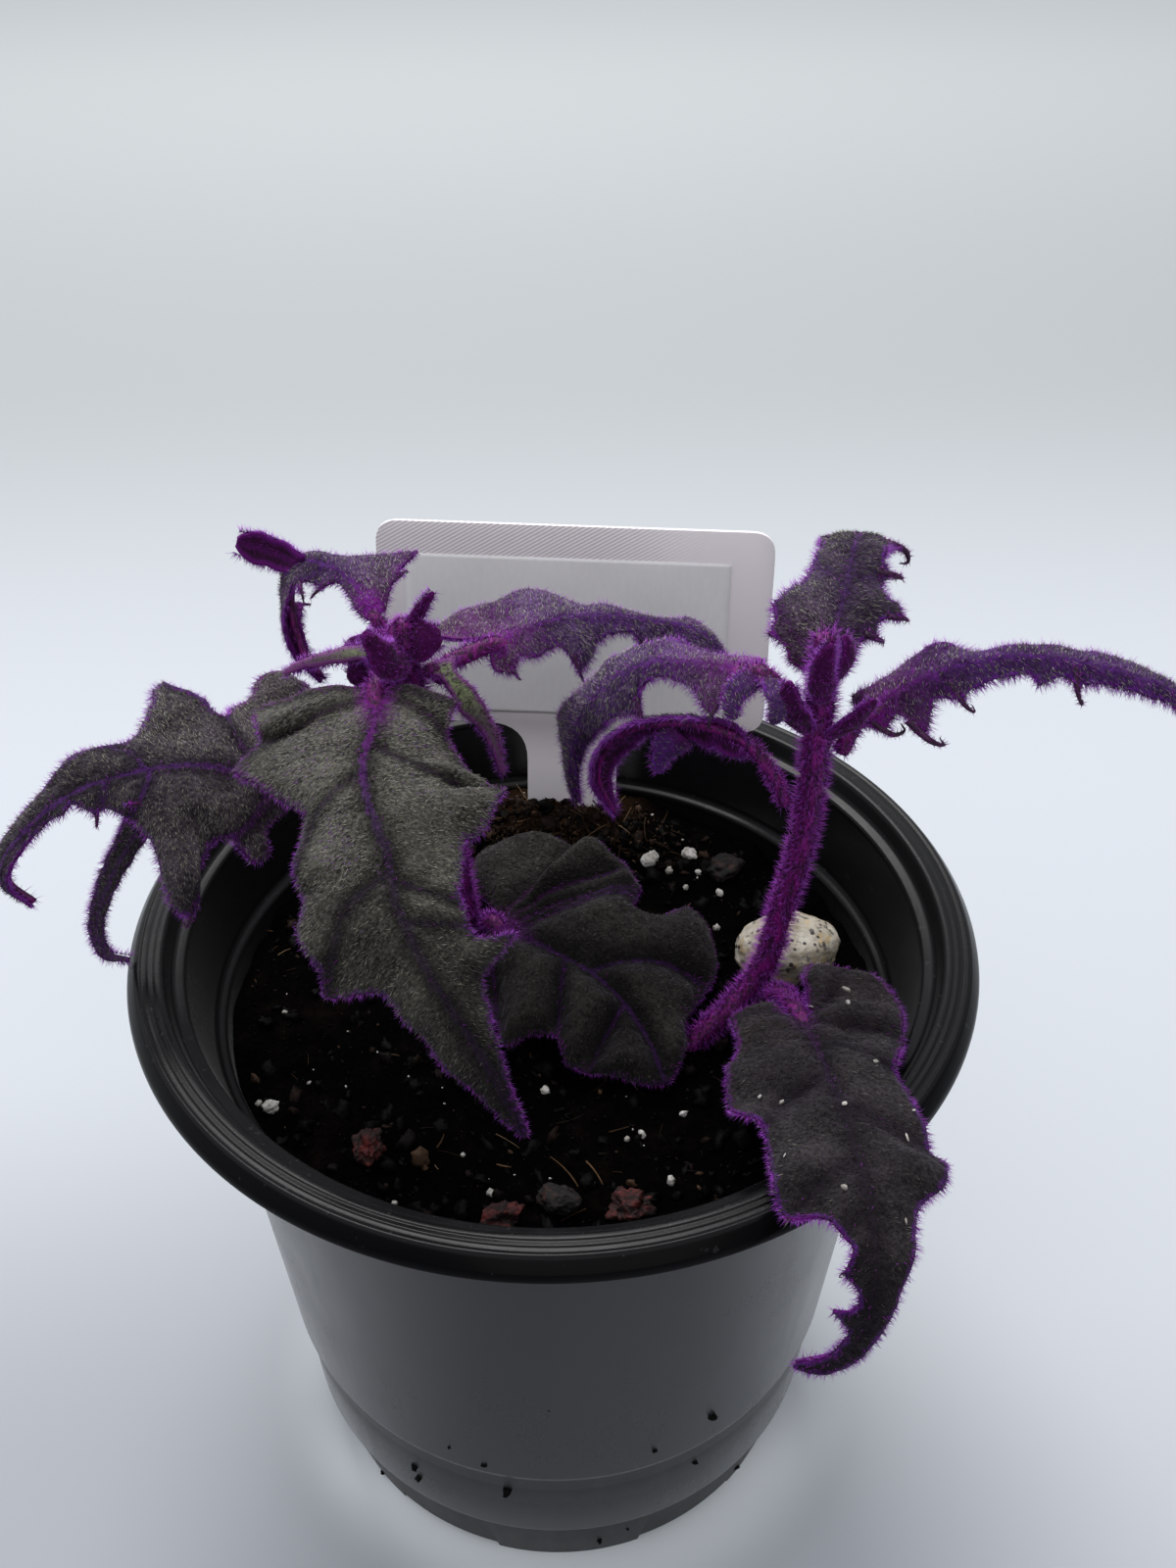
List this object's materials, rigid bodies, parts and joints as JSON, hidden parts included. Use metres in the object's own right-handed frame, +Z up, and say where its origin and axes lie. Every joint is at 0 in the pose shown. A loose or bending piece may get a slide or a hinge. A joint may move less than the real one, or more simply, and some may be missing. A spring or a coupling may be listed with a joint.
{
  "type": "potted purple passion plant",
  "caption": "Young velvet-leaved plant with violet hairs and toothed drooping leaves, in a round nursery pot with a stepped rim and a bare stake label.",
  "frame": {"origin": "middle of the flat boss under the pot, on the surface that the pot stands on", "axes": "+Z up along the pot's axis; the picture's viewer stands on the -Y side; +X to the viewer's right"},
  "size_m": [0.1415, 0.1144, 0.1406],
  "materials": {
    "pot": "satin black moulded plastic with faint turned ridges",
    "soil": "near black crumbly potting mix with pale specks",
    "label": "white plastic with fine embossed diagonal lines",
    "sticker": "bare pale paper",
    "pebble": "rough white stone with grey specks",
    "perlite": "porous off-white grain",
    "bark": "rough red-brown bark",
    "stem": "magenta-purple with dense violet hairs",
    "young_leaf": "violet hairs over green",
    "leaf": "grey-green velvet with violet veins and edges"
  },
  "bodies": {
    "root": {"pot": "pot", "soil": "soil", "plant_label": "label", "label_sticker": "sticker", "pebble": "pebble", "bark_chip_1": "bark", "bark_chip_2": "bark", "bark_chip_3": "bark", "bark_chip_4": "bark", "bark_chip_5": "bark", "perlite_1": "perlite", "perlite_2": "perlite", "perlite_3": "perlite", "stem_a": "stem", "stem_b": "stem", "apex_a": "young_leaf", "leaf_a1_front": "leaf", "leaf_a2_left": "leaf", "leaf_a3_back_left": "leaf", "leaf_a4_right": "leaf", "leaf_a6_young": "leaf", "leaf_a7_low": "leaf", "leaf_b1_back": "leaf", "leaf_b2_right": "leaf", "leaf_b3_upper_left": "leaf", "leaf_b4_lower_left": "leaf", "leaf_b5_over_rim": "leaf"}
  },
  "joints": []
}
